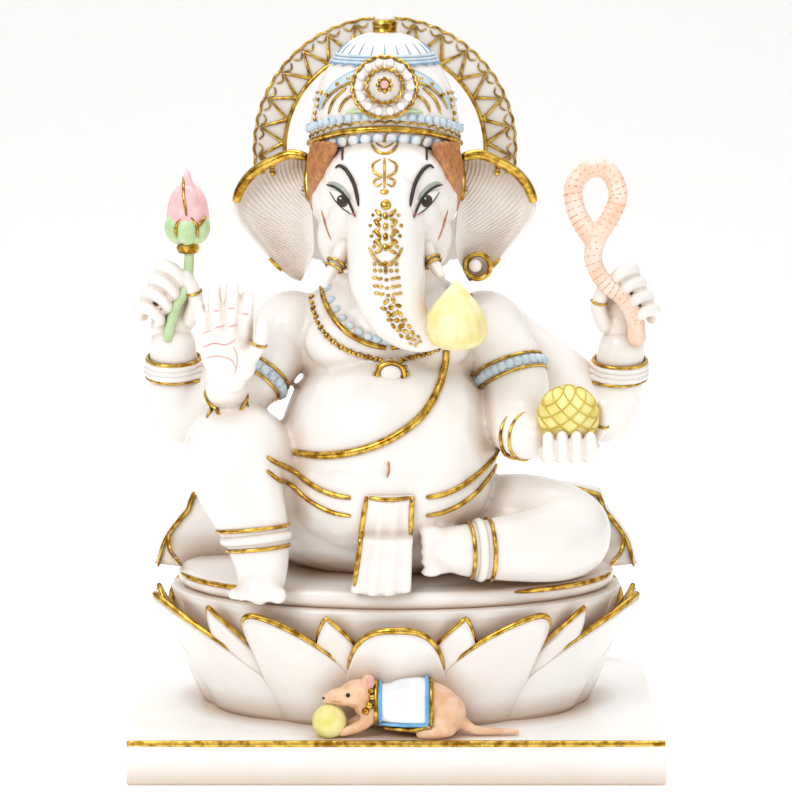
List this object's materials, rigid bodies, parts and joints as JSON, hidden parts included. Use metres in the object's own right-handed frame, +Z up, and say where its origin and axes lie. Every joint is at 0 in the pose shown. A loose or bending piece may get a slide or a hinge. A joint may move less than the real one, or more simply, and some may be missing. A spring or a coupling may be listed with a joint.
{
  "type": "ganesha idol",
  "caption": "Seated elephant-headed marble figure on a lotus throne, with raised gilded trim, a ring behind the head and a mouse at its feet.",
  "frame": {"origin": "middle of the plinth's underside", "axes": "+Z up; the face looks along -Y; +X is to the viewer's right"},
  "size_m": [0.428, 0.27, 0.606],
  "materials": {
    "marble": "polished white marble",
    "gilding": "burnished gold leaf over raised gesso",
    "blue_enamel": "marble with pale blue enamel paint",
    "saddle_cloth": "marble with white and blue enamel paint",
    "pink_enamel": "marble with pink enamel paint",
    "peach_enamel": "marble with peach enamel paint",
    "hair_paint": "marble with brown paint",
    "eye_paint": "marble with painted iris",
    "yellow_enamel": "marble with yellow enamel paint",
    "cream_enamel": "marble with cream enamel paint",
    "mouse_paint": "marble with peach paint",
    "steel": "plain drawn stainless rod"
  },
  "bodies": {
    "root": {"plinth": "marble", "plinth_gilding": "gilding", "lotus_base": "marble", "lotus_petals": "marble", "lotus_inner_petals": "marble", "seat_cushion": "marble", "torso": "marble", "right_leg": "marble", "left_leg": "marble", "dhoti_flap": "marble", "waist_belt": "gilding", "sacred_thread": "gilding", "necklace_beads": "blue_enamel", "necklace_chain": "gilding", "pendant": "gilding", "head": "marble", "eyes": "eye_paint", "trunk": "marble", "trunk_ornament": "gilding", "right_ear": "marble", "left_ear": "marble", "ear_rims": "gilding", "earring": "gilding", "right_tusk": "marble", "left_tusk": "marble", "hair_locks": "hair_paint", "crown": "blue_enamel", "crown_band": "gilding", "crown_beads": "blue_enamel", "crown_rosette": "gilding", "crown_finial": "marble", "aureole": "marble", "rear_right_arm": "marble", "rear_right_hand": "marble", "lotus_bud": "pink_enamel", "rear_left_arm": "marble", "rear_left_hand": "marble", "noose": "peach_enamel", "front_right_arm": "marble", "front_right_hand": "marble", "front_left_arm": "marble", "front_left_hand": "marble", "sweet_bowl": "yellow_enamel", "modak": "cream_enamel", "rear_bracelets": "gilding", "front_bracelets": "gilding", "armlets": "gilding", "anklets": "gilding", "mouse": "mouse_paint", "mouse_saddle": "saddle_cloth", "mouse_sweet": "yellow_enamel", "seat_dowels": "steel", "body_dowels": "steel", "hand_dowels": "steel"}
  },
  "joints": []
}
